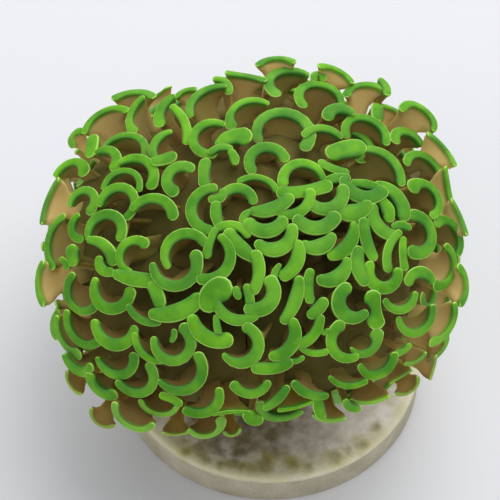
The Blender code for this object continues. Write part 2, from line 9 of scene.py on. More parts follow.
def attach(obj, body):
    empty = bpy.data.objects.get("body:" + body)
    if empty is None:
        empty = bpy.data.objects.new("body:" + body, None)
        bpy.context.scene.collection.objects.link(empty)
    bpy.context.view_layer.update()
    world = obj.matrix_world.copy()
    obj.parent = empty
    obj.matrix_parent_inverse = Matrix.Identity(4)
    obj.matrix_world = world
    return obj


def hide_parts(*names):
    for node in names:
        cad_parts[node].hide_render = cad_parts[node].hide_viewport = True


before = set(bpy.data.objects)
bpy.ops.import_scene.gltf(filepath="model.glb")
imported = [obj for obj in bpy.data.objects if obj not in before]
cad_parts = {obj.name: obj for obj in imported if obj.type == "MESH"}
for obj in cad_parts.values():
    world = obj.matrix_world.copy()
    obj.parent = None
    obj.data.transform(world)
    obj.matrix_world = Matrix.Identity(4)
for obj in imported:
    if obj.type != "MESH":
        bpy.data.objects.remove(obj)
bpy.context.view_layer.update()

scene = bpy.context.scene
print("frame loaded:", len(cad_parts), "nodes")

# lengths are in metres, colours are linear red, green and blue
mm = 0.001

# the line of sight of the photo, and the sheet of 500 units that the ends were read on
sight = dict(
    tilt=math.radians(52.0),
    distance=0.300,
    aim=Vector((-3.2, 0.0, 33.4)) * mm,
    scale=1933.0,        # sheet units for a slope of one
    middle=250.0,
    sensor=36.0,
)

# the ellipsoid that the tentacle ends lie on
crown = dict(
    centre=Vector((-3.2, 0.0, 33.9)) * mm,
    reach=Vector((33.0, 33.0, 21.3)) * mm,
    rim=0.97,
    facing=0.45,         # how far the seen ends lean towards the eye
    edge=(0.84, 1.0),    # from here to here out, they turn edge-on
    edgeBands=(9.0, 4.5),    # bands as thick as this on the sheet stay face-on, and these are edge-on
    edgeBand=(0.6 * mm, 1.4 * mm),    # thinnest edge-on band at the front's foot and elsewhere
    foot=(-23.0 * mm, -16.0 * mm),    # y where the front's foot is full, and where it ends
    bandScale=1.12,
    thinBand=4,          # edge-on ends with a band as thin as this lie further back
    thinBack=2.8 * mm,
    edgeSag=0.26,        # share of its span that an edge-on hammer curves towards the eye
)

# azimuth and height of each polyp on the crown, in degrees
polyps = {
    "polyp_top": (90.0, 90.0),
    "polyp_left": (162.0, 10.0),
    "polyp_front_left": (234.0, 6.0),
    "polyp_front_right": (306.0, 10.0),
    "polyp_right": (18.0, 10.0),
    "polyp_back": (90.0, 10.0),
}

# fleshy body of a polyp, in shares of the crown's reach
body = dict(
    offset=0.34, reach=0.54, seat=5.6 * mm, shaft=4.1 * mm, gap=0.3 * mm,
    folds=0.8 * mm, foldScale=Vector((230.0, 230.0, 120.0)), foldNoise=(0.9, 2.0, 3),
    rounds=5,            # subdivisions of the sphere that it starts from
    branchWay=(0.5, 0.88),    # how far a branch leans out and up where it meets the body
    neck=3.6 * mm,       # stems head for the body from this far below their hammers
    rootDepth=0.80, rootShare=0.7,    # where they end in it, and most of the way that they go
    rootHeight=2.0 * mm,    # least height of a root above the seat
    depth=14.0,          # how deep in the crown its colour lies, in millimetres
)

# each seen end on that sheet: one arm's tip, the middle of the arc, the other arm's tip, and how thick the
# band is at these three
seenEnds = (
    (116,97,132,92,152,96,9,7,9), (85,131,101,112,125,110,6,7,8), (72,144,71,137,80,131,4,4,4),
    (93,140,92,146,91,152,13,13,12), (142,98,130,115,133,131,5,7,10), (107,143,124,135,145,154,4,6,9),
    (56,174,71,162,84,171,6,8,13), (97,152,112,151,115,166,5,9,12), (119,163,142,159,152,184,5,9,12),
    (172,97,160,111,160,123,7,10,11), (177,96,186,90,194,89,4,4,4), (173,107,185,123,187,141,7,9,9),
    (190,115,197,95,224,86,8,8,5), (216,79,226,82,228,92,6,7,7), (229,73,243,75,263,80,8,6,8),
    (231,125,235,107,267,103,11,7,5), (222,124,195,132,212,154,6,9,10), (220,143,231,137,242,136,9,15,19),
    (212,151,221,147,230,148,7,7,6), (232,153,234,157,235,161,8,9,8), (169,132,156,141,154,156,6,8,8),
    (156,161,165,159,171,157,10,12,12), (190,168,168,175,173,191,10,11,12),
    (205,163,204,172,204,182,11,11,11), (213,188,191,209,209,230,9,11,10), (223,193,219,198,213,199,9,10,9),
    (216,206,216,214,218,222,10,11,10), (225,193,239,188,253,200,9,10,9), (240,181,258,177,276,189,6,6,7),
    (134,207,154,198,173,215,8,10,11), (167,265,173,238,204,242,7,10,10), (215,231,210,242,207,254,7,8,9),
    (217,229,231,225,247,234,7,9,8), (222,238,229,264,202,279,8,11,11), (230,235,240,247,252,257,13,14,10),
    (153,266,178,286,196,256,7,11,12), (144,243,124,245,129,271,11,8,6), (256,256,259,273,254,289,12,12,11),
    (254,211,272,209,288,199,9,14,12), (250,224,265,231,282,222,12,14,12),
    (260,245,278,249,292,230,11,14,12), (249,212,244,217,243,224,6,8,6), (283,182,300,163,323,178,11,9,6),
    (283,193,305,191,326,186,13,12,13), (281,213,301,211,310,194,9,10,11),
    (312,204,328,209,343,190,12,13,12), (299,221,317,228,334,218,13,14,14),
    (338,210,353,213,366,207,12,17,14), (344,181,362,197,381,192,10,14,14),
    (330,180,337,178,346,178,9,10,9), (355,183,366,184,377,187,8,9,8), (322,163,332,168,345,172,8,8,8),
    (306,246,319,247,331,238,11,15,11), (333,255,347,247,354,226,11,14,8),
    (364,223,366,239,373,256,11,12,10), (358,252,358,267,364,280,12,14,12),
    (298,245,297,261,285,275,10,14,12), (322,280,338,277,347,262,11,15,9), (310,273,308,286,310,299,9,10,9),
    (279,266,275,273,274,283,5,7,7), (250,309,268,305,271,282,12,15,13), (373,209,380,228,392,235,11,13,12),
    (384,203,388,210,389,216,11,13,12), (379,186,398,197,404,215,10,14,13),
    (414,186,430,186,433,215,15,8,8), (414,215,432,238,413,252,11,11,13), (438,222,454,225,459,253,11,8,6),
    (447,247,454,271,437,286,6,6,10), (409,280,420,272,432,280,11,11,8), (460,268,467,285,462,303,9,5,4),
    (453,202,461,218,466,232,5,5,5), (446,170,449,190,453,208,6,6,5), (399,233,388,250,388,268,7,9,9),
    (403,240,403,254,404,266,7,8,9), (395,226,402,225,408,227,7,8,7), (370,266,384,288,398,273,10,12,10),
    (395,139,405,131,421,143,12,9,7), (407,162,423,155,441,178,9,8,7), (362,150,388,156,401,182,6,9,9),
    (403,108,415,104,434,129,9,7,4), (430,135,443,146,454,163,5,5,5), (382,81,386,87,387,92,8,9,9),
    (377,108,377,112,377,116,12,12,12), (384,106,391,108,398,112,4,4,4), (259,64,275,58,292,61,7,6,8),
    (275,93,274,74,307,74,12,9,5), (314,78,318,73,323,78,6,6,6), (322,66,334,68,351,81,9,6,4),
    (302,104,320,84,341,103,11,8,6), (347,94,358,85,382,88,9,6,6), (328,116,334,109,351,112,12,12,8),
    (258,139,281,112,306,146,10,10,13), (306,134,320,128,340,136,9,8,6), (346,135,361,117,386,142,9,8,8),
    (334,152,346,149,357,147,17,18,18), (251,169,264,147,284,157,11,10,11), (57,181,47,200,42,221,4,5,5),
    (63,217,47,243,52,266,7,7,8), (42,264,37,284,42,303,5,5,5), (70,204,85,190,91,210,5,8,11),
    (100,203,119,187,128,216,7,9,9), (104,187,120,171,139,189,6,6,7), (88,238,107,214,121,236,5,10,11),
    (90,240,104,245,113,260,7,11,12), (77,216,71,228,80,239,6,7,8), (72,251,72,256,73,261,13,13,11),
    (62,260,65,263,67,267,6,6,6), (99,260,101,268,110,272,8,10,9), (72,276,69,301,93,308,8,7,9),
    (95,281,106,308,130,293,7,11,12), (118,276,135,279,153,282,11,14,15), (129,307,138,318,158,322,6,7,7),
    (67,313,74,338,97,342,7,8,9), (95,324,115,345,134,330,9,12,9), (57,314,52,325,56,336,4,4,4),
    (57,318,63,344,77,354,5,7,12), (65,357,74,369,90,367,7,10,9), (67,372,68,383,80,394,4,4,4),
    (90,377,97,390,113,394,11,11,11), (98,360,116,375,134,358,6,9,11), (119,384,142,393,151,368,8,9,12),
    (135,336,141,352,161,361,7,7,6), (154,340,174,361,185,329,7,10,12), (174,332,174,335,172,340,6,6,5),
    (154,287,157,294,160,302,12,13,12), (154,314,178,312,197,300,11,17,14),
    (209,302,213,294,220,289,20,24,24), (217,304,232,319,254,316,9,11,9),
    (193,320,207,338,226,340,11,15,14), (216,318,217,326,219,335,6,7,7), (160,382,190,389,199,357,5,10,11),
    (248,328,257,352,225,356,11,12,6), (236,290,237,293,238,296,7,8,7), (247,288,249,295,250,302,8,9,9),
    (293,323,292,345,274,356,10,13,10), (299,281,295,301,285,319,10,13,10),
    (320,319,315,333,303,343,9,10,10), (323,303,318,309,312,314,11,12,10), (301,348,312,353,325,352,5,6,7),
    (322,331,324,333,327,331,5,5,5), (257,368,273,368,288,363,11,12,10), (290,361,297,361,302,358,6,5,5),
    (235,386,250,394,267,384,10,9,8), (286,389,278,399,267,407,8,9,8), (295,384,308,394,325,396,8,9,7),
    (331,378,347,386,365,382,5,6,6), (339,326,332,347,355,357,12,10,8), (352,349,371,351,377,336,4,8,14),
    (345,289,340,309,364,314,13,14,9), (373,299,376,310,376,320,17,11,18), (361,367,381,374,394,357,7,9,10),
    (386,302,400,310,415,295,7,8,7), (399,320,417,333,433,308,7,8,7), (398,353,404,351,409,346,7,6,6),
    (406,364,418,361,425,354,5,5,4), (455,305,451,328,433,342,4,7,10), (447,338,443,350,431,359,4,4,4),
    (436,357,434,368,431,378,3,3,3), (418,378,414,390,397,394,4,4,4), (391,383,400,378,411,371,3,3,3),
    (351,400,370,403,388,397,4,5,4), (346,402,351,408,357,409,7,8,8), (318,401,319,409,322,416,10,11,9),
    (314,416,328,421,344,419,4,5,4), (280,410,290,409,311,402,5,4,3), (249,416,252,419,257,420,12,14,12),
    (214,414,231,412,247,411,3,4,3), (187,411,208,412,219,391,9,10,8), (141,402,155,414,177,406,6,6,5),
    (163,396,172,399,178,403,8,9,9), (115,405,127,426,152,425,7,7,6), (91,410,97,424,113,426,4,4,4),
    (164,433,177,435,188,432,4,4,3), (190,431,210,436,221,421,5,6,10), (225,433,232,436,240,430,4,3,3),
)

# ends that the photo doesn't show, spread over the back and the underside
hidden = dict(
    spacing=6.8 * mm,
    clear=0.8,           # least distance from the seen ends, in spacings
    wander=0.05,
    span=(5.8 * mm, 7.6 * mm),
    bend=(0.28, 0.46),
    band=(1.4 * mm, 1.9 * mm),
    armShares=(1.15, 1.0, 0.85),
    turn=32.0,           # degrees, either way
    lift=0.35,           # how much they look up
    edge=-0.30,          # those that face the eye more than this fill gaps, and lie deeper
    leftOut=(61, 82, 95, 127, 167, 180, 188),    # these would close gaps in the outline
    underside=-0.58,     # lowest place, where the crown's foot is -1
    edgeOn=(0.2, 0.5),    # those that face the eye less than the first are this much edge-on
    fillEdge=0.50,
    fillSpacing=4.6 * mm,
    fillReach=0.89,
    seed=11,
)

# smaller ends deeper in, where the flank turns away from the eye
flank = dict(
    spacing=4.4 * mm,
    clear=4.9 * mm,      # least distance from all others
    facing=(-0.60, 0.34),
    top=0.40,
    reach=0.85,
    span=(4.8 * mm, 6.4 * mm),
    band=(1.2 * mm, 1.6 * mm),
    underside=-0.60,
    seed=5,
)

sightBack = Vector((0.0, -math.cos(sight["tilt"]), math.sin(sight["tilt"])))
sightUp = Vector((0.0, math.sin(sight["tilt"]), math.cos(sight["tilt"])))
eye = sight["aim"] + sightBack * sight["distance"]


def over(a, b):
    return Vector((a.x / b.x, a.y / b.y, a.z / b.z))


def times(a, b):
    return Vector((a.x * b.x, a.y * b.y, a.z * b.z))


def onSphere(azimuth, height):
    turn = math.radians(azimuth)
    rise = math.radians(height)
    return Vector((math.cos(turn) * math.cos(rise), math.sin(turn) * math.cos(rise), math.sin(rise)))


def sightLine(x, y):
    across = (x - sight["middle"]) / sight["scale"]
    rise = (sight["middle"] - y) / sight["scale"]
    return (Vector((across, 0.0, 0.0)) + sightUp * rise - sightBack).normalized()


def crownPoint(x, y):
    # the place on the crown, and how far out it lies in the view, where 1 is the outline
    ray = sightLine(x, y)
    start = over(eye - crown["centre"], crown["reach"])
    step = over(ray, crown["reach"])
    nearest = -start.dot(step) / step.dot(step)
    out = (start + step * nearest).length
    miss = min(out, crown["rim"])
    return eye + ray * (nearest - math.sqrt(1.0 - miss * miss) / step.length), out


def planePoint(x, y, origin, normal):
    ray = sightLine(x, y)
    return eye + ray * ((origin - eye).dot(normal) / ray.dot(normal))


def crownNormal(place):
    return over(over(place - crown["centre"], crown["reach"]), crown["reach"]).normalized()


def seenEnd(row):
    ax, ay, mx, my, bx, by, *bands = row
    middle, out = crownPoint(mx, my)
    normal = crownNormal(middle)
    axis = (normal + (eye - middle).normalized() * crown["facing"]).normalized()
    scale = (middle - eye).length / sight["scale"]
    low, high = crown["edge"]
    edge = min(max((out - low) / (high - low), 0.0), 1.0)
    wide, thin = crown["edgeBands"]
    edge = edge * min(max((wide - bands[1]) / (wide - thin), 0.0), 1.0)
    if bands[1] <= crown["thinBand"]:
        middle = middle + (middle - eye).normalized() * crown["thinBack"] * edge
    sag = math.hypot(bx - ax, by - ay) * scale * crown["edgeSag"]
    tips = []
    for x, y in ((ax, ay), (bx, by)):
        faceOn = planePoint(x, y, middle, axis)
        ray = sightLine(x, y)
        edgeOn = eye + ray * ((middle - eye).length - sag)
        tips.append(faceOn.lerp(edgeOn, edge))
    axis = axis.lerp(normal, edge).normalized()
    chord = (tips[1] - tips[0]).normalized()
    axis = (axis - chord * axis.dot(chord)).normalized()
    bands = [band * scale * crown["bandScale"] for band in bands]
    thinnest = np.interp(middle.y, crown["foot"], crown["edgeBand"])
    bands = [band + max(thinnest - band, 0.0) * edge for band in bands]
    return dict(first=tips[0], middle=middle, last=tips[1], axis=axis, bands=bands, edge=edge)


def goldenWays(spacing):
    # evenly spread directions, one for each square of the spacing on the crown
    reach = crown["reach"]
    area = 4.0 * math.pi * reach.x * (reach.x + reach.z) / 2.0
    count = int(area / spacing ** 2)
    golden = math.pi * (3.0 - math.sqrt(5.0))
    ways = []
    for number in range(count):
        height = 1.0 - 2.0 * (number + 0.5) / count
        ring = math.sqrt(1.0 - height * height)
        ways.append(Vector((ring * math.cos(number * golden), ring * math.sin(number * golden), height)))
    return ways


def archedEnd(middle, normal, span, bend, band, twist, edge):
    # an end whose arch opens upwards, turned by the twist
    axis = (normal + Vector((0.0, 0.0, hidden["lift"]))).normalized()
    convex = (-Vector((0.0, 0.0, 1.0)) + axis * axis.z).normalized()
    convex.rotate(Quaternion(axis, twist))
    along = axis.cross(convex)
    dip = convex * (span * bend)
    return dict(
        first=middle - along * span / 2.0 - dip,
        middle=middle,
        last=middle + along * span / 2.0 - dip,
        axis=axis,
        bands=[band * share for share in hidden["armShares"]],
        edge=edge,
    )


def hiddenEnds(seen):
    chance = random.Random(hidden["seed"])
    wander = hidden["wander"]
    low, share = hidden["edgeOn"]
    ends = []
    for number, way in enumerate(goldenWays(hidden["spacing"])):
        place = (way + Vector([chance.uniform(-wander, wander) for _ in range(3)])).normalized()
        span = chance.uniform(*hidden["span"])
        bend = chance.uniform(*hidden["bend"])
        band = chance.uniform(*hidden["band"])
        twist = math.radians(chance.uniform(-hidden["turn"], hidden["turn"]))
        middle = crown["centre"] + times(place, crown["reach"])
        normal = crownNormal(middle)
        facing = normal.dot((eye - middle).normalized())
        if place.z < hidden["underside"] or facing > hidden["fillEdge"]:
            continue
        if number in hidden["leftOut"]:
            continue
        fills = facing > hidden["edge"]
        nearest = min((middle - end["middle"]).length for end in seen)
        if nearest < (hidden["fillSpacing"] if fills else hidden["spacing"] * hidden["clear"]):
            continue
        if fills:
            middle = crown["centre"] + times(place, crown["reach"]) * hidden["fillReach"]
        ends.append(archedEnd(middle, normal, span, bend, band, twist, share if facing < low else 0.0))
    return ends


def flankEnds(others):
    chance = random.Random(flank["seed"])
    low, high = flank["facing"]
    ends = []
    for way in goldenWays(flank["spacing"]):
        span = chance.uniform(*flank["span"])
        bend = chance.uniform(*hidden["bend"])
        band = chance.uniform(*flank["band"])
        twist = math.radians(chance.uniform(-hidden["turn"], hidden["turn"]))
        middle = crown["centre"] + times(way, crown["reach"])
        normal = crownNormal(middle)
        facing = normal.dot((eye - middle).normalized())
        if not flank["underside"] < way.z < flank["top"] or not low < facing < high:
            continue
        if min((middle - end["middle"]).length for end in others + ends) < flank["clear"]:
            continue
        middle = crown["centre"] + times(way, crown["reach"]) * flank["reach"]
        ends.append(archedEnd(middle, normal, span, bend, band, twist, 0.0))
    return ends


def bodyCentre(name):
    return crown["centre"] + times(onSphere(*polyps[name]), crown["reach"]) * body["offset"]


def branchEnd(name):
    if name == "polyp_top":
        way = Vector((0.0, 0.0, 1.0))
    else:
        own = onSphere(*polyps[name])
        out, up = body["branchWay"]
        way = Vector((own.x * out, own.y * out, up)).normalized()
    return bodyCentre(name) - way * body["seat"], way


def polypOf(place):
    way = over(place - crown["centre"], crown["reach"])
    return max(polyps, key=lambda name: way.dot(onSphere(*polyps[name])))


# picking and shaping by code, as the mouse would
def startFresh():
    if bpy.context.object and bpy.context.object.mode != "OBJECT":
        bpy.ops.object.mode_set(mode="OBJECT")
    bpy.ops.object.select_all(action="DESELECT")


def named(name):
    piece = bpy.context.object
    piece.name = name
    piece.data.name = name
    return piece


def pick(piece, test, kind="VERT"):
    # selects what test(place) holds for, and stays in edit mode
    bpy.ops.object.mode_set(mode="EDIT")
    bpy.ops.mesh.select_mode(type=kind)
    bpy.ops.mesh.select_all(action="DESELECT")
    bpy.ops.object.mode_set(mode="OBJECT")
    mesh = piece.data
    if kind == "VERT":
        for vert in mesh.vertices:
            vert.select = test(vert.co)
    elif kind == "EDGE":
        for edge in mesh.edges:
            a, b = (mesh.vertices[i].co for i in edge.vertices)
            edge.select = test((a + b) / 2.0)
    else:
        for face in mesh.polygons:
            face.select = test(face.center)
    bpy.ops.object.mode_set(mode="EDIT")


def leaveEdit():
    bpy.ops.object.mode_set(mode="OBJECT")


def settle(piece):
    # the place goes into the mesh
    startFresh()
    piece.select_set(True)
    bpy.context.view_layer.objects.active = piece
    bpy.ops.object.transform_apply(location=True, rotation=True, scale=True)


# hammer model: x runs along the arc, where 1 to 2 is the round tip of an arm, y through the band in half
# bands, and z is up: 0 is the rim, -1 the bead's underside, -2 the foot of the fan and -3 the root
hammer = dict(
    corners=12,
    cuts=14,
    dome=((0.06, 0.40), (0.17, 0.70), (0.40, 0.92), (1.0, 1.0)),    # inset and height of each ring
    domeHeight=0.30,
    ridge=(1.15, 0.01),    # half length and half width of the ring that closes the dome
    weld=0.004,
    beadAngles=(28, 58),
    beadFoot=0.95,
    beadDepth=0.60,      # in half bands
    tipInset=0.42,
    tipOuter=0.8,        # how much the tips count as the arc's outer side
    tipFoot=-0.9,
    fan=((-1.0, 0.80, 0.74), (-1.20, 0.67, 0.76), (-1.45, 0.46, 0.88), (-1.72, 0.34, 1.10),
         (-2.0, 0.25, 1.35), (-2.5, 0.23, 1.60), (-3.0, 0.38, 2.1)),
    fanDepth=0.44,       # share of the hammer's span
    fanLimits=(1.8 * mm, 2.8 * mm),
    flatten=0.55,        # how much of the arc's curve the stem has lost
    centring=0.12,       # how far the stem moves from the arc towards its chord
    slack=1.03,          # the stem's length, in distances from the root
    fanShare=0.55,       # most of that length that the fan takes
    stemBends=(0.42, 0.25),    # how far the stem runs straight at its hammer and at its root
    uneven=0.05, waves=3.0,
    fattest=0.92,        # half band, in shares of the arc's radius
    steepest=1.2,
    leastDip=0.04,       # in spans, so that the arc is never straight
)


def modelHammer():
    startFresh()
    bpy.ops.mesh.primitive_circle_add(
        vertices=hammer["corners"], radius=1.0, rotation=(0.0, 0.0, math.pi / hammer["corners"]))
    model = named("hammer_model")
    settle(model)
    pick(model, lambda co: co.x > 0.0)
    bpy.ops.transform.translate(value=(1.0, 0.0, 0.0))
    pick(model, lambda co: co.x < 0.0)
    bpy.ops.transform.translate(value=(-1.0, 0.0, 0.0))
    pick(model, lambda co: abs(co.x) < 0.01, "EDGE")
    bpy.ops.mesh.subdivide(number_cuts=hammer["cuts"])

    def ring(width, thickness, height, before):
        wide, thick, high = before
        bpy.ops.mesh.extrude_region_move(TRANSFORM_OT_translate={"value": (0.0, 0.0, height - high)})
        bpy.ops.transform.resize(
            value=(width / wide, thickness / thick, 1.0), center_override=(0.0, 0.0, height))
        return width, thickness, height

    # dome over the band, closed along its middle line
    bpy.ops.mesh.select_all(action="SELECT")
    last = (2.0, 1.0, 0.0)
    for inset, height in hammer["dome"][:-1]:
        last = ring(2.0 - inset, 1.0 - inset, hammer["domeHeight"] * height, last)
    ring(*hammer["ridge"], hammer["domeHeight"], last)
    bpy.ops.transform.resize(value=(1.0, 0.0, 1.0), center_override=(0.0, 0.0, 0.0))
    bpy.ops.mesh.remove_doubles(threshold=hammer["weld"])
    # bead, fan and stem below the rim
    pick(model, lambda co: abs(co.z) < 1e-4, "EDGE")
    last = (2.0, 1.0, 0.0)
    thin = hammer["fan"][0][2]
    for angle in hammer["beadAngles"]:
        turn = math.radians(angle)
        inset = 1.0 - math.cos(turn)
        width = 2.0 - inset * hammer["tipInset"]
        last = ring(width, 1.0 - inset * (1.0 - thin), -math.sin(turn) * hammer["beadFoot"], last)
    for height, width, thickness in hammer["fan"]:
        last = ring(width * 2.0, thickness, height, last)
    bpy.ops.mesh.edge_face_add()
    bpy.ops.mesh.select_all(action="SELECT")
    bpy.ops.mesh.normals_make_consistent(inside=False)
    leaveEdit()
    bpy.ops.object.shade_smooth()
    return model


def bendHammer(points, end, root, chance):
    # where the model's points go on one end: along its arc, and down its bent stem
    axis = end["axis"].normalized()
    first, middle, last = end["first"], end["middle"], end["last"]
    along = last - first
    along = (along - axis * along.dot(axis)).normalized()
    convex = axis.cross(along)
    firstBand, half, lastBand = [band / 2.0 for band in end["bands"]]
    if convex.dot(middle - (first + last) / 2.0) < 0.0:
        first, last = last, first
        firstBand, lastBand = lastBand, firstBand
        along = -along
        convex = -convex
    span = (last - first).length
    flat = [np.array([(p - middle).dot(along), (p - middle).dot(convex)]) for p in (first, last)]
    rise = [(p - middle).dot(axis) for p in (first, last)]
    chordDip = (flat[0][1] + flat[1][1]) / 2.0
    leastDip = hammer["leastDip"] * span
    if chordDip > -leastDip:
        flat = [p - np.array([0.0, chordDip + leastDip]) for p in flat]
        chordDip = -leastDip
    # circle through both arm tips and the middle, which is the origin here
    (ax, ay), (bx, by) = flat
    cross = 2.0 * (ax * by - ay * bx)
    aa, bb = ax * ax + ay * ay, bx * bx + by * by
    hub = np.array([(by * aa - ay * bb) / cross, (ax * bb - bx * aa) / cross])
    radius = np.hypot(*hub)
    half = min(half, radius * hammer["fattest"])
    start = math.atan2(-hub[1], -hub[0])
    turns = []
    for p in flat:
        turn = math.atan2(p[1] - hub[1], p[0] - hub[0]) - start
        turns.append((turn + math.pi) % (2.0 * math.pi) - math.pi)

    x, y, z = points[:, 0], points[:, 1], points[:, 2]
    inner = np.clip(np.abs(x), 0.0, 1.0)
    turn = start + np.where(x < 0.0, turns[0], turns[1]) * inner
    normal = np.stack([np.cos(turn), np.sin(turn)], 1)
    sign = np.where(x < 0.0, np.sign(turns[0]), np.sign(turns[1]))
    tangent = np.stack([-np.sin(turn) * sign, np.cos(turn) * sign], 1)
    swell = 1.0 + (np.where(x < 0.0, firstBand, lastBand) / half - 1.0) * inner ** 2
    wave = chance.uniform(-1.0, 1.0) * hammer["uneven"]
    swell = swell * (1.0 + wave * np.sin(x * hammer["waves"] + chance.uniform(0.0, 6.0)))
    below = np.clip((-z - 1.0) / 1.0, 0.0, 1.0)
    swell = swell * (1.0 - below) + below
    flatPlace = hub + normal * radius
    flatPlace = flatPlace + normal * (y * half * swell)[:, None]
    ease = below * below * (3.0 - 2.0 * below)
    # arms that rise or droop, with the bead turned to follow them
    arm = np.where(x < 0.0, abs(turns[0]), abs(turns[1])) * radius
    lift = np.where(x < 0.0, rise[0], rise[1])
    slope = np.clip(2.0 * lift / arm, -hammer["steepest"], hammer["steepest"])
    tilt = np.arctan(slope * inner) * (1.0 - ease)
    beyond = (np.abs(x) - inner) * half * swell
    bead = half * hammer["beadDepth"]
    high = np.where(z > 0.0, z * half, np.clip(z, -1.0, 0.0) * bead)
    flatPlace = flatPlace + tangent * (beyond * np.cos(tilt) - high * np.sin(tilt))[:, None]
    arch = slope * arm / 2.0 * inner ** 2 * (1.0 - ease)
    arch = arch + beyond * np.sin(tilt) + high * (np.cos(tilt) - 1.0)
    u = flatPlace[:, 0]
    v = flatPlace[:, 1] * (1.0 - hammer["flatten"] * ease) + chordDip * hammer["centring"] * ease

    # bent stem from the rim to the root
    length = (middle - root).length * hammer["slack"]
    least, most = hammer["fanLimits"]
    fanDepth = min(max(span * hammer["fanDepth"], least), most, length * hammer["fanShare"])
    stem = length - fanDepth - bead
    depth = np.where(z > 0.0, -z * half, -z * bead)
    depth = np.where(z < -1.0, bead + (-z - 1.0) * fanDepth, depth)
    depth = np.where(z < -2.0, bead + fanDepth + (-z - 2.0) * stem, depth)
    share = np.clip(depth / length, 0.0, 1.0)[:, None]
    outward = (middle - root).normalized()
    upper, lower = hammer["stemBends"]
    knots = [np.array(p) for p in (
        middle, middle - axis * length * upper, root + outward * length * lower, root)]
    rest = 1.0 - share
    line = knots[0] * rest ** 3 + knots[1] * 3 * rest ** 2 * share
    line = line + knots[2] * 3 * rest * share ** 2 + knots[3] * share ** 3
    way = (knots[1] - knots[0]) * rest ** 2 + (knots[2] - knots[1]) * 2 * rest * share
    way = way + (knots[3] - knots[2]) * share ** 2
    way = way / np.linalg.norm(way, axis=1)[:, None]
    line = line + np.array(axis) * (np.clip(-depth, 0.0, None) + arch)[:, None]
    pole = -np.array(axis)
    swing = np.cross(pole, way)
    lean = 1.0 + (way @ pole)[:, None]

    def turned(vector):
        flatCopy = np.broadcast_to(np.array(vector), way.shape)
        once = np.cross(swing, flatCopy)
        return flatCopy + once + np.cross(swing, once) / lean

    return line + turned(along) * u[:, None] + turned(convex) * v[:, None], depth


def rimShare(points):
    # 1 on the edge of the band, 0 on its middle line and on the fan
    z = points[:, 2]
    insets, heights = zip((0.0, 0.0), *hammer["dome"])
    up = np.interp(z / hammer["domeHeight"], heights, insets)
    return np.where(z < 0.0, 1.0 - np.clip(-z * 0.5, 0.0, 1.0), 1.0 - up)


def addFloats(mesh, name, values):
    mesh.attributes.new(name, "FLOAT", "POINT").data.foreach_set("value", np.asarray(values, np.float32))


def rootOf(end, name):
    centre = bodyCentre(name)
    neck = end["middle"] - end["axis"] * body["neck"]
    way = over(neck - centre, crown["reach"] * body["reach"])
    root = centre.lerp(neck, min(body["rootDepth"] / way.length, body["rootShare"]))
    seat, up = branchEnd(name)
    return root + up * max(body["rootHeight"] - (root - seat).dot(up), 0.0)


# fleshy body between the tentacles' roots
def makeBody(name):
    startFresh()
    bpy.ops.mesh.primitive_ico_sphere_add(
        subdivisions=body["rounds"], radius=1.0, location=bodyCentre(name),
        scale=crown["reach"] * body["reach"])
    piece = named(name + "_body")
    settle(piece)
    centre = bodyCentre(name)
    for vert in piece.data.vertices:
        fold = noise.fractal(times(vert.co, body["foldScale"]), *body["foldNoise"])
        vert.co += (vert.co - centre).normalized() * fold * body["folds"]
    own = onSphere(*polyps[name])
    cuts = []
    for other in polyps:
        if other != name:
            normal = over(own - onSphere(*polyps[other]), crown["reach"]).normalized()
            cuts.append((crown["centre"] + normal * body["gap"] / 2.0, normal))
    if name != "polyp_top":
        level = Vector((own.x, own.y, 0.0)).normalized()
        cuts.append((crown["centre"] + level * body["shaft"], level))
    seat, way = branchEnd(name)
    cuts.append((seat + way * body["gap"], way))
    for place, normal in cuts:
        bpy.ops.object.mode_set(mode="EDIT")
        bpy.ops.mesh.select_all(action="SELECT")
        bpy.ops.mesh.bisect(plane_co=place, plane_no=normal, use_fill=True, clear_inner=True)
        leaveEdit()
    bpy.ops.object.shade_smooth()
    count = len(piece.data.vertices)
    layers = dict(depth=body["depth"], rim=0.0, outer=0.0, across=0.0, tone=0.5, edge=0.0)
    for layer, value in layers.items():
        addFloats(piece.data, layer, np.full(count, value))
    return piece


def makePolyp(name, ends, model):
    chance = random.Random(name)
    points = np.empty(len(model.data.vertices) * 3)
    model.data.vertices.foreach_get("co", points)
    points = points.reshape(-1, 3)
    rim = rimShare(points)
    tips = np.clip(np.abs(points[:, 0]) - 1.0, 0.0, 1.0) * (points[:, 2] > hammer["tipFoot"])
    outer = np.clip(points[:, 1], -1.0, 1.0) + hammer["tipOuter"] * tips
    parts = [makeBody(name)]
    for number, end in enumerate(ends):
        bent, depth = bendHammer(points, end, rootOf(end, name), chance)
        mesh = model.data.copy()
        mesh.vertices.foreach_set("co", bent.ravel())
        addFloats(mesh, "depth", depth / mm)
        addFloats(mesh, "rim", rim)
        addFloats(mesh, "outer", outer)
        addFloats(mesh, "across", points[:, 0] * (end["last"] - end["first"]).length / mm / 2.0 + number)
        addFloats(mesh, "tone", np.full(len(points), chance.random()))
        addFloats(mesh, "edge", np.full(len(points), end["edge"]))
        copy = bpy.data.objects.new("%s_tentacle_%d" % (name, number), mesh)
        scene.collection.objects.link(copy)
        parts.append(copy)
    startFresh()
    for part in parts:
        part.select_set(True)
    bpy.context.view_layer.objects.active = parts[0]
    bpy.ops.object.join()
    piece = named(name.replace("polyp", "flesh"))
    piece.data.materials.clear()
    piece.data.materials.append(fleshMaterial)
    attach(piece, "root")
    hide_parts(name)
    print(piece.name, len(ends), "tentacles", len(piece.data.polygons), "faces")
    return piece


# materials
def freshMaterial(name):
    material = bpy.data.materials.new(name)
    material.use_nodes = True
    return material, material.node_tree, material.node_tree.nodes["Principled BSDF"]


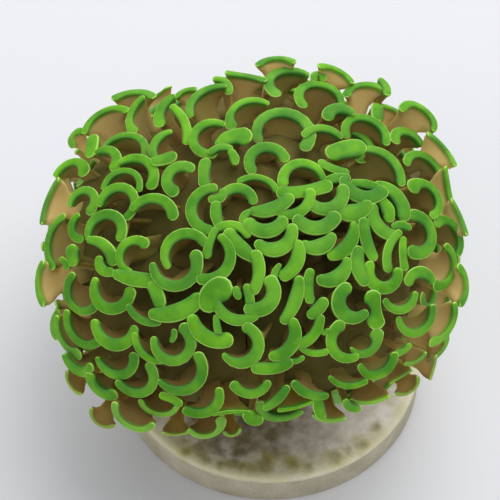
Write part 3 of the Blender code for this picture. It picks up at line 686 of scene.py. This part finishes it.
def addNode(tree, kind, inputs=(), **settings):
    node = tree.nodes.new(kind)
    for key, value in settings.items():
        setattr(node, key, value)
    for key, value in dict(inputs).items():
        if isinstance(value, bpy.types.NodeSocket):
            tree.links.new(value, node.inputs[key])
        else:
            node.inputs[key].default_value = value
    return node


def ramp(tree, value, stops):
    node = addNode(tree, "ShaderNodeValToRGB", {"Fac": value})
    elements = node.color_ramp.elements
    while len(elements) < len(stops):
        elements.new(0.5)
    for element, (place, colour) in zip(elements, stops):
        element.position = place
        element.color = (*colour, 1.0)
    return node.outputs["Color"]


def fit(tree, value, low, high, toLow=0.0, toHigh=1.0):
    node = addNode(tree, "ShaderNodeMapRange", {
        "Value": value, "From Min": low, "From Max": high, "To Min": toLow, "To Max": toHigh})
    return node.outputs["Result"]


def mix(tree, share, a, b):
    a, b = (value if isinstance(value, bpy.types.NodeSocket) else (*value, 1.0) for value in (a, b))
    return addNode(tree, "ShaderNodeMix", {0: share, 6: a, 7: b}, data_type="RGBA").outputs[2]


def attribute(tree, name):
    return addNode(tree, "ShaderNodeAttribute", attribute_name=name).outputs["Fac"]


def multiply(tree, a, b):
    return addNode(tree, "ShaderNodeMath", {0: a, 1: b}, operation="MULTIPLY").outputs[0]


def larger(tree, a, b):
    return addNode(tree, "ShaderNodeMath", {0: a, 1: b}, operation="MAXIMUM").outputs[0]


def vectors(tree, operation, a, b):
    return addNode(tree, "ShaderNodeVectorMath", {0: a, 1: b}, operation=operation)


def objectPlace(tree):
    return addNode(tree, "ShaderNodeTexCoord").outputs["Object"]


def clouds(tree, place, scale, detail, output="Fac"):
    node = addNode(tree, "ShaderNodeTexNoise", {"Vector": place, "Scale": scale, "Detail": detail})
    return node.outputs[output]


def finish(tree, shader, look, colour, grain):
    tree.links.new(colour, shader.inputs["Base Color"])
    shader.inputs["Roughness"].default_value = look["roughness"]
    strength, distance = look["bump"]
    bump = addNode(tree, "ShaderNodeBump", {"Height": grain, "Strength": strength, "Distance": distance})
    tree.links.new(bump.outputs["Normal"], shader.inputs["Normal"])


fleshLook = dict(
    green=(0.066, 0.255, 0.005),
    freshGreen=(0.165, 0.44, 0.014),
    # a cooler green for the shift, also painted as shade on the band's concave inner side
    coolShadedGreen=(0.036, 0.17, 0.038),
    # pale green, painted as a glow round the band's rim and mixed into the green at the front's foot
    pale=(0.47, 0.80, 0.16),
    fan=(0.37, 0.28, 0.086),
    # fan colour on the crown's edge, painted pale as light from behind
    backlitEdgeFan=(0.70, 0.53, 0.21),
    # fan colour at the front's foot, painted dark as shade
    shadedFootFan=(0.19, 0.120, 0.032),
    # the fan's concave face, painted darker as shade
    inside=(0.255, 0.208, 0.054),
    shade=(0.259, 0.219, 0.057),
    deep=(0.231, 0.211, 0.053),
    # the body's brown, painted darker as the shade deep in the crown
    body=(0.097, 0.085, 0.021),
    russet=(0.26, 0.15, 0.044),
    patches=220.0, specks=1800.0, tinges=130.0, streaks=5.0,    # scales of the noises
    toFan=(0.30, 0.95),      # depths in millimetres where the green ends
    toStalk=(2.5, 5.5),      # and where the fan's colours do
    stalk=(2.5, 13.5),
    gloss=(0.18, 0.04),      # at the rim and deep down
    soft=0.60,               # subsurface share, its radii and its scale
    softRadii=(1.0, 0.9, 0.45),
    softScale=1.8 * mm,
    roughness=0.60,
    bump=(0.12, 0.1 * mm),
)


def makeFleshMaterial():
    look = fleshLook
    material, tree, shader = freshMaterial("flesh")
    depth, rim, outer, across, tone, edgeOn = (
        attribute(tree, name) for name in ("depth", "rim", "outer", "across", "tone", "edge"))
    place = objectPlace(tree)
    # green bead: patches, a shift for each tentacle, and painted shade on the concave inner side
    patches = clouds(tree, place, look["patches"], 3.0)
    green = mix(tree, fit(tree, patches, 0.36, 0.64), look["green"], look["freshGreen"])
    green = mix(tree, multiply(tree, tone, 0.28), green, look["coolShadedGreen"])
    # painted shade: the band's concave inner side is painted a darker, cooler green, less on edge-on ends
    concaveShade = multiply(tree, fit(tree, outer, -0.45, -1.0), fit(tree, edgeOn, 0.0, 0.6, 0.75, 0.15))
    green = mix(tree, concaveShade, green, look["coolShadedGreen"])
    # brown fan and stem, painted darker with depth as the shade deep in the crown and darkest on the body,
    # with streaks along them
    track = addNode(tree, "ShaderNodeCombineXYZ", {"X": across, "Y": multiply(tree, depth, 0.12)})
    streaks = clouds(tree, track.outputs["Vector"], look["streaks"], 2.0)
    # painted shade: the fan's concave face is painted darker than its outer face
    fanWithShadedInside = mix(tree, fit(tree, outer, 0.15, -0.35), look["fan"], look["inside"])
    stalkTone = ramp(tree, fit(tree, depth, *look["stalk"]), (
        (0.0, look["shade"]), (0.6, look["deep"]), (1.0, look["body"])))
    stalkTone = mix(tree, fit(tree, depth, *look["toStalk"]), fanWithShadedInside, stalkTone)
    stalkTone = mix(tree, fit(tree, streaks, 0.50, 0.70, 0.0, 0.30), stalkTone, look["deep"])
    stalkTone = mix(tree, multiply(tree, tone, 0.25), stalkTone, look["shade"])
    tinges = clouds(tree, place, look["tinges"], 2.0)
    tinged = multiply(tree, fit(tree, tinges, 0.42, 0.62, 0.0, 0.7), fit(tree, depth, 13.0, 10.0, 0.3, 1.0))
    stalkTone = mix(tree, tinged, stalkTone, look["russet"])
    # ends on the crown's edge are thin, and their fans are painted pale as light from behind; at the front's
    # foot the fans are painted dark as shade, and their green a little paler
    ahead = addNode(tree, "ShaderNodeSeparateXYZ", {"Vector": place}).outputs["Y"]
    foot = multiply(tree, fit(tree, edgeOn, 0.05, 0.45), fit(tree, ahead, *crown["foot"], 1.0, 0.0))
    thin = multiply(tree, fit(tree, edgeOn, 0.1, 0.7, 0.0, 0.85), fit(tree, depth, 8.0, 4.0))
    stalkTone = mix(tree, thin, stalkTone, look["backlitEdgeFan"])
    # painted shade on the fans at the front's foot
    footShadeShare = multiply(tree, foot, fit(tree, depth, 11.0, 5.0, 0.0, 0.95))
    stalkTone = mix(tree, footShadeShare, stalkTone, look["shadedFootFan"])
    green = mix(tree, multiply(tree, foot, 0.22), green, look["pale"])
    # the green ends sooner on them
    less = multiply(tree, edgeOn, fit(tree, foot, 0.0, 1.0, 0.30, 0.60))
    shallow = addNode(tree, "ShaderNodeMath", {0: depth, 1: less}, operation="ADD").outputs[0]
    colour = mix(tree, fit(tree, shallow, *look["toFan"]), green, stalkTone)
    # painted rim glow: a pale line round the rim, mostly on the arc's outer side
    edge = multiply(tree, fit(tree, rim, 0.82, 0.95), fit(tree, outer, -0.1, 0.45, 0.05, 1.0))
    colour = mix(tree, multiply(tree, edge, 0.80), colour, look["pale"])
    finish(tree, shader, look, colour, clouds(tree, place, look["specks"], 2.0))
    tree.links.new(fit(tree, depth, 0.6, 3.0, *look["gloss"]), shader.inputs["Specular IOR Level"])
    shader.inputs["Subsurface Weight"].default_value = look["soft"]
    shader.inputs["Subsurface Radius"].default_value = look["softRadii"]
    shader.inputs["Subsurface Scale"].default_value = look["softScale"]
    return material


fleshMaterial = makeFleshMaterial()

seen = [seenEnd(row) for row in seenEnds]
unseen = hiddenEnds(seen)
unseen = unseen + flankEnds(seen + unseen)
groups = {name: [] for name in polyps}
for end in seen + unseen:
    groups[polypOf(end["middle"])].append(end)
print("tentacles:", len(seen), "seen and", len(unseen), "unseen")
model = modelHammer()
for name, ends in groups.items():
    makePolyp(name, ends, model)
bpy.data.objects.remove(model)

# stony skeleton: a fluted rod is modelled once, and bent along each branch
rod = dict(
    sides=96, cuts=23,
    flutes=24, fluteDepth=0.055,
    sway=(1.3, 5.0),     # how far the flutes wind, and how often
    lumps=0.056, lumpScale=260.0, lumpNoise=(0.8, 2.1, 3),
    upright=0.9,         # a rod that is steeper than this has level rings
)
skeleton = dict(
    fork=(-3.2 * mm, 0.0, 17.8 * mm),
    radius=3.3 * mm,
    cup=4.5 * mm,
    topRadius=3.0 * mm,
    topCup=3.5 * mm,
    topDrop=4.0 * mm,
    start=4.2 * mm,
    startDrop=4.5 * mm,
    steps=12,
    bend=0.5,
    stalk=(              # heights and radii in millimetres
        (5.4, 12.4), (6.6, 11.0), (8.2, 9.4), (10.4, 7.8), (12.8, 7.2), (14.6, 7.6), (16.2, 8.3),
        (17.1, 7.6), (17.8, 5.4)),
    stalkRings=25,
)


def modelRod():
    startFresh()
    bpy.ops.mesh.primitive_cylinder_add(
        vertices=rod["sides"], radius=1.0, depth=1.0, location=(0.0, 0.0, 0.5))
    model = named("rod_model")
    settle(model)
    pick(model, lambda co: 0.01 < co.z < 0.99, "EDGE")
    bpy.ops.mesh.subdivide(number_cuts=rod["cuts"])
    leaveEdit()
    bpy.ops.object.shade_smooth()
    return model


def makeRod(name, node, model, centres, radii):
    # follows the centres, with fine flutes and lumps
    startFresh()
    mesh = model.data.copy()
    piece = bpy.data.objects.new(name, mesh)
    scene.collection.objects.link(piece)
    points = np.empty(len(mesh.vertices) * 3)
    mesh.vertices.foreach_get("co", points)
    points = points.reshape(-1, 3)
    turn = np.arctan2(points[:, 1], points[:, 0])
    shares = np.linspace(0.0, 1.0, len(centres))
    centres = np.array([tuple(c) for c in centres])
    middle = np.stack([np.interp(points[:, 2], shares, centres[:, k]) for k in range(3)], 1)
    reach = np.interp(points[:, 2], shares, radii)
    way = Vector(centres[-1] - centres[0]).normalized()
    side = way.orthogonal().normalized()
    if abs(way.z) > rod["upright"]:
        way = Vector((0.0, 0.0, 1.0))
        side = Vector((1.0, 0.0, 0.0))
    other = way.cross(side).normalized()
    side = other.cross(way)
    far, often = rod["sway"]
    flute = np.cos(turn * rod["flutes"] + far * np.sin(points[:, 2] * often))
    wide = np.hypot(points[:, 0], points[:, 1])
    spokes = np.outer(np.cos(turn), side) + np.outer(np.sin(turn), other)
    lumps = np.array([
        noise.fractal(Vector(place) * rod["lumpScale"], *rod["lumpNoise"])
        for place in middle + spokes * reach[:, None]])
    reach = reach * (1.0 + rod["fluteDepth"] * (flute - 1.0) + rod["lumps"] * (lumps - 0.5))
    place = middle + spokes * (reach * wide)[:, None]
    mesh.vertices.foreach_set("co", place.ravel())
    addFloats(mesh, "groove", (1.0 - flute) / 2.0)
    piece.data.materials.clear()
    piece.data.materials.append(stoneMaterial)
    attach(piece, "root")
    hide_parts(node)
    print(piece.name, len(piece.data.polygons), "faces")


def branchPath(name):
    seat, way = branchEnd(name)
    fork = Vector(skeleton["fork"])
    if name == "polyp_top":
        start = fork - Vector((0.0, 0.0, skeleton["topDrop"]))
        shaft, cup = skeleton["topRadius"], skeleton["topCup"]
    else:
        own = onSphere(*polyps[name])
        start = fork + Vector((own.x, own.y, 0.0)) * skeleton["start"]
        start = start - Vector((0.0, 0.0, skeleton["startDrop"]))
        shaft, cup = skeleton["radius"], skeleton["cup"]
    length = (seat - start).length
    centres = []
    radii = []
    for step in range(skeleton["steps"] + 1):
        share = step / skeleton["steps"]
        straight = start.lerp(seat, share)
        bend = way * (share - 1.0) * length + seat
        centres.append(straight.lerp(bend, share * skeleton["bend"]))
        radii.append(shaft + (cup - shaft) * share ** 2)
    return centres, radii


stoneLook = dict(
    stone=(0.40, 0.34, 0.24),
    pale=(0.55, 0.50, 0.38),
    groove=(0.17, 0.125, 0.065),
    algae=(0.16, 0.15, 0.045),
    stains=140.0, grain=2600.0,    # scales of the noises
    gloss=0.2,
    roughness=0.85,
    bump=(0.35, 0.15 * mm),
)


def makeStoneMaterial():
    look = stoneLook
    material, tree, shader = freshMaterial("skeleton_stone")
    place = objectPlace(tree)
    stains = clouds(tree, place, look["stains"], 4.0)
    grain = clouds(tree, place, look["grain"], 3.0)
    colour = mix(tree, fit(tree, grain, 0.35, 0.7), look["stone"], look["pale"])
    colour = mix(tree, fit(tree, attribute(tree, "groove"), 0.45, 1.0, 0.0, 0.7), colour, look["groove"])
    colour = mix(tree, fit(tree, stains, 0.50, 0.66, 0.0, 0.75), colour, look["algae"])
    shader.inputs["Specular IOR Level"].default_value = look["gloss"]
    finish(tree, shader, look, colour, grain)
    return material


stoneMaterial = makeStoneMaterial()
rodModel = modelRod()
foot, top = skeleton["stalk"][0][0], skeleton["stalk"][-1][0]
stalkHeights = np.linspace(foot, top, skeleton["stalkRings"])
stalkRadii = np.interp(stalkHeights, *zip(*skeleton["stalk"])) * mm
stalkPath = [
    Vector((skeleton["fork"][0] * (high - foot) / (top - foot), 0.0, high * mm)) for high in stalkHeights]
makeRod("stone_stalk", "stalk", rodModel, stalkPath, stalkRadii)
for name in polyps:
    makeRod(name.replace("polyp", "stone"), name.replace("polyp", "branch"), rodModel, *branchPath(name))
bpy.data.objects.remove(rodModel)


# ceramic disc: stains are read off the same sheet, with their width in millimetres
disc = dict(
    radius=25.0 * mm,
    thickness=6.2 * mm,
    sides=120,
    edge=0.7 * mm,
    underEdge=0.49 * mm,
    near=0.1 * mm,       # how close to a face's height its edges are
    insets=(1.2 * mm, 1.6 * mm, 3.0 * mm, 5.0 * mm, 6.0 * mm),
    dish=0.25 * mm,
    wear=0.10 * mm, wearScale=300.0, wearNoise=(0.9, 2.0, 4),
    wearUp=(0.6, -0.4),    # share of the wear that moves a place up, and how far all go down
    wearFrom=(0.5 * mm, 1.0 * mm),    # least height, and least distance from the middle
    dirtAndShadowAt=(240, 418),    # dark dirt and a painted shadow of the crown round this place on the sheet
    dirtAndShadowReach=(18.0 * mm, 7.0 * mm),
    stains=(
        (205, 460, 3.0), (222, 464, 2.4), (243, 466, 2.0), (265, 463, 4.2), (291, 463, 3.6), (308, 467, 2.2),
        (335, 457, 3.2), (347, 450, 2.4), (361, 444, 3.2), (376, 427, 3.0), (186, 452, 2.8)),
)


def makeDisc():
    startFresh()
    bpy.ops.mesh.primitive_cylinder_add(
        vertices=disc["sides"], radius=disc["radius"], depth=disc["thickness"],
        location=(0.0, 0.0, disc["thickness"] / 2.0))
    piece = named("ceramic_disc")
    settle(piece)
    pick(piece, lambda co: abs(co.z - disc["thickness"]) < disc["near"], "EDGE")
    bpy.ops.mesh.bevel(offset=disc["edge"], segments=4, affect="EDGES")
    pick(piece, lambda co: abs(co.z) < disc["near"], "EDGE")
    bpy.ops.mesh.bevel(offset=disc["underEdge"], segments=2, affect="EDGES")
    pick(piece, lambda co: abs(co.z - disc["thickness"]) < disc["near"] / 10.0, "FACE")
    bpy.ops.mesh.inset(thickness=disc["insets"][0])
    bpy.ops.mesh.inset(thickness=disc["insets"][1], depth=-disc["dish"])
    for step in disc["insets"][2:]:
        bpy.ops.mesh.inset(thickness=step)
    bpy.ops.mesh.poke()
    leaveEdit()
    bpy.ops.object.shade_smooth()
    lowest, innermost = disc["wearFrom"]
    share, down = disc["wearUp"]
    for vert in piece.data.vertices:
        out = math.hypot(vert.co.x, vert.co.y)
        if vert.co.z > lowest:
            worn = noise.fractal(vert.co * disc["wearScale"], *disc["wearNoise"]) * disc["wear"]
            vert.co.z += worn * share + disc["wear"] * down
            if out > innermost:
                vert.co.x -= abs(worn) * vert.co.x / out
                vert.co.y -= abs(worn) * vert.co.y / out
    piece.data.materials.append(makeDiscMaterial())
    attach(piece, "root")
    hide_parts("disc")
    print(piece.name, len(piece.data.polygons), "faces")


discLook = dict(
    ceramic=(0.42, 0.375, 0.26),
    pale=(0.55, 0.51, 0.39),
    # the top where it is lit: painted light
    top=(0.84, 0.79, 0.72),
    # dark dirt under the crown, with its painted shadow
    dirtAndShadow=(0.17, 0.135, 0.075),
    # the worn rim, paler with a painted highlight
    worn=(0.76, 0.72, 0.52),
    dark=(0.24, 0.205, 0.125),
    algae=(0.50, 0.45, 0.085),
    algaeDeep=(0.27, 0.235, 0.050),
    wide=180.0, grain=2200.0, warp=520.0, cloudy=420.0,    # scales of the noises
    topFrom=(1.1 * mm, 0.5 * mm),    # the top's look sets in from here to here below it
    ring=(16.5 * mm, 20.5 * mm),     # where the painted light on the top grows: out in a ring, and from left to right
    side=(-10.0 * mm, 12.0 * mm),
    wornAndHighlitFrom=(23.2 * mm, 24.3 * mm),
    tingeFrom=(18.5 * mm, 23.0 * mm),
    shift=2.4 * mm,          # how far the stains wander
    stainReach=(0.70 * mm, 0.12 * mm),    # for a width of one
    gloss=0.25,
    roughness=0.8,
    bump=(0.30, 0.2 * mm),
)


def makeDiscMaterial():
    look = discLook
    high = disc["thickness"]
    material, tree, shader = freshMaterial("disc_ceramic")
    place = objectPlace(tree)
    wide = clouds(tree, place, look["wide"], 5.0)
    grain = clouds(tree, place, look["grain"], 3.0)
    cloudy = clouds(tree, place, look["cloudy"], 4.0)
    colour = mix(tree, fit(tree, wide, 0.35, 0.65), look["ceramic"], look["pale"])
    colour = mix(tree, fit(tree, grain, 0.55, 0.72, 0.0, 0.40), colour, look["dark"])
    # painted light: the top is painted paler as lit, more so out in a ring and to the right
    spread = addNode(tree, "ShaderNodeSeparateXYZ", {"Vector": place})
    level = addNode(tree, "ShaderNodeCombineXYZ", {"X": spread.outputs["X"], "Y": spread.outputs["Y"]})
    out = addNode(
        tree, "ShaderNodeVectorMath", {0: level.outputs["Vector"]}, operation="LENGTH").outputs["Value"]
    onTop = fit(tree, spread.outputs["Z"], *[high - below for below in look["topFrom"]])
    litRightward = fit(tree, spread.outputs["X"], *look["side"], 0.1, 1.0)
    paintedLight = multiply(tree, fit(tree, cloudy, 0.36, 0.62, 0.45, 1.0), onTop)
    paintedLight = multiply(tree, paintedLight, larger(tree, fit(tree, out, *look["ring"]), litRightward))
    colour = mix(tree, paintedLight, colour, look["top"])
    # dirt with a painted shadow under the crown, a worn edge with a painted highlight and a tinge of algae
    up = Vector((0.0, 0.0, 1.0))
    dirtAndShadowSpot = planePoint(*disc["dirtAndShadowAt"], up * high, up)
    dirtAndShadowFar = vectors(tree, "DISTANCE", place, dirtAndShadowSpot).outputs["Value"]
    dirtAndShadowShare = multiply(tree, fit(tree, dirtAndShadowFar, *disc["dirtAndShadowReach"]), fit(tree, cloudy, 0.62, 0.38, 0.55, 1.0))
    colour = mix(tree, multiply(tree, dirtAndShadowShare, onTop), colour, look["dirtAndShadow"])
    # a worn, paler rim with a painted highlight along the edge
    worn = multiply(tree, fit(tree, out, *look["wornAndHighlitFrom"], 0.0, 0.80), onTop)
    colour = mix(tree, worn, colour, look["worn"])
    tinge = multiply(tree, fit(tree, out, *look["tingeFrom"], 0.0, 0.28), onTop)
    colour = mix(tree, multiply(tree, tinge, fit(tree, wide, 0.35, 0.60)), colour, look["algae"])
    # stains with ragged edges
    warp = clouds(tree, place, look["warp"], 3.0, "Color")
    shift = vectors(tree, "SUBTRACT", warp, (0.5, 0.5, 0.5)).outputs[0]
    shift = addNode(
        tree, "ShaderNodeVectorMath", {0: shift, "Scale": look["shift"]}, operation="SCALE").outputs[0]
    bent = vectors(tree, "ADD", place, shift).outputs[0]
    stained = 0.0
    for x, y, width in disc["stains"]:
        far = vectors(tree, "DISTANCE", bent, planePoint(x, y, up * high, up)).outputs["Value"]
        stained = larger(tree, stained, fit(tree, far, *[width * reach for reach in look["stainReach"]]))
    algae = mix(tree, fit(tree, stained, 0.35, 0.80), look["algae"], look["algaeDeep"])
    colour = mix(tree, multiply(tree, stained, fit(tree, cloudy, 0.30, 0.60, 0.90, 0.50)), colour, algae)
    shader.inputs["Specular IOR Level"].default_value = look["gloss"]
    finish(tree, shader, look, colour, grain)
    return material


makeDisc()

# plain pale floor, soft light and the camera at the photo's angle
room = dict(
    floorSize=4.0,
    floor=(0.66, 0.66, 0.68),
    floorRoughness=0.9,
    sky=(0.95, 0.97, 1.0),
    skyStrength=0.60,
    lamps=dict(          # place, size and power of each
        key=((0.24, 0.10, 0.78), 0.65, 3.6),
        fill=((-0.35, -0.50, 0.45), 0.60, 0.8),
        back=((0.05, 0.60, 0.45), 0.60, 2.5),
    ),
)

startFresh()
bpy.ops.mesh.primitive_plane_add(size=room["floorSize"], location=(0.0, 0.0, 0.0))
floor = named("floor")
material, tree, shader = freshMaterial("pale_floor")
shader.inputs["Base Color"].default_value = (*room["floor"], 1.0)
shader.inputs["Roughness"].default_value = room["floorRoughness"]
floor.data.materials.append(material)

for name, (place, size, power) in room["lamps"].items():
    startFresh()
    bpy.ops.object.light_add(type="AREA", location=place)
    lamp = bpy.context.object
    lamp.name = name + "_light"
    lamp.data.size = size
    lamp.data.energy = power
    lamp.rotation_euler = (sight["aim"] - Vector(place)).to_track_quat("-Z", "Y").to_euler()

world = bpy.data.worlds.new("soft_room")
world.use_nodes = True
sky = world.node_tree.nodes["Background"]
sky.inputs["Color"].default_value = (*room["sky"], 1.0)
sky.inputs["Strength"].default_value = room["skyStrength"]
scene.world = world
scene.view_settings.view_transform = "Standard"

startFresh()
bpy.ops.object.camera_add(location=eye, rotation=(math.pi / 2.0 - sight["tilt"], 0.0, 0.0))
camera = bpy.context.object
camera.name = "photo_camera"
camera.data.sensor_width = sight["sensor"]
camera.data.lens = sight["scale"] * sight["sensor"] / (2.0 * sight["middle"])
camera.data.clip_start = 0.01
scene.camera = camera

print("stage, lamps and camera are in place")
